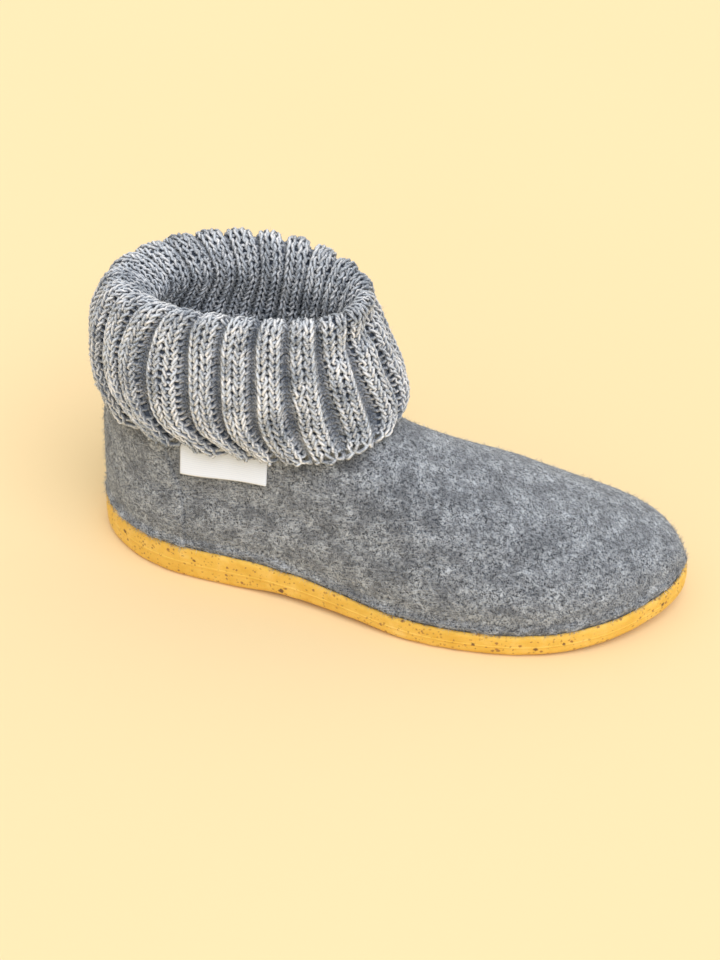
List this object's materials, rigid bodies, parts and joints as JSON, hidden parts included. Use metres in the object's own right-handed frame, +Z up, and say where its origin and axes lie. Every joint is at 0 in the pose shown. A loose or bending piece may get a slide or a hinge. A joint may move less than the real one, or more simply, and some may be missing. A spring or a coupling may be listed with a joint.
{
  "type": "house slipper",
  "caption": "Ankle-high felt house slipper, right foot, with a folded rib-knit cuff, a felt footbed and a speckled natural rubber sole.",
  "frame": {"origin": "on the floor, under the middle of the slipper's overall length and width", "axes": "+X towards the toe, +Y towards the inner side of the foot, +Z up"},
  "size_m": [0.263, 0.0988, 0.1443],
  "materials": {
    "natural_rubber": "satin, with fine cork specks",
    "footbed_felt": "matt pressed felt",
    "wool_felt": "matt mottled felt with a short nap",
    "knitted_wool": "marled two-ply yarn in a wide rib",
    "woven_tape": "smooth woven tape, blank"
  },
  "bodies": {
    "root": {"outsole": "natural_rubber", "insole": "footbed_felt", "upper": "wool_felt", "knit_cuff": "knitted_wool", "side_label": "woven_tape"}
  },
  "joints": []
}
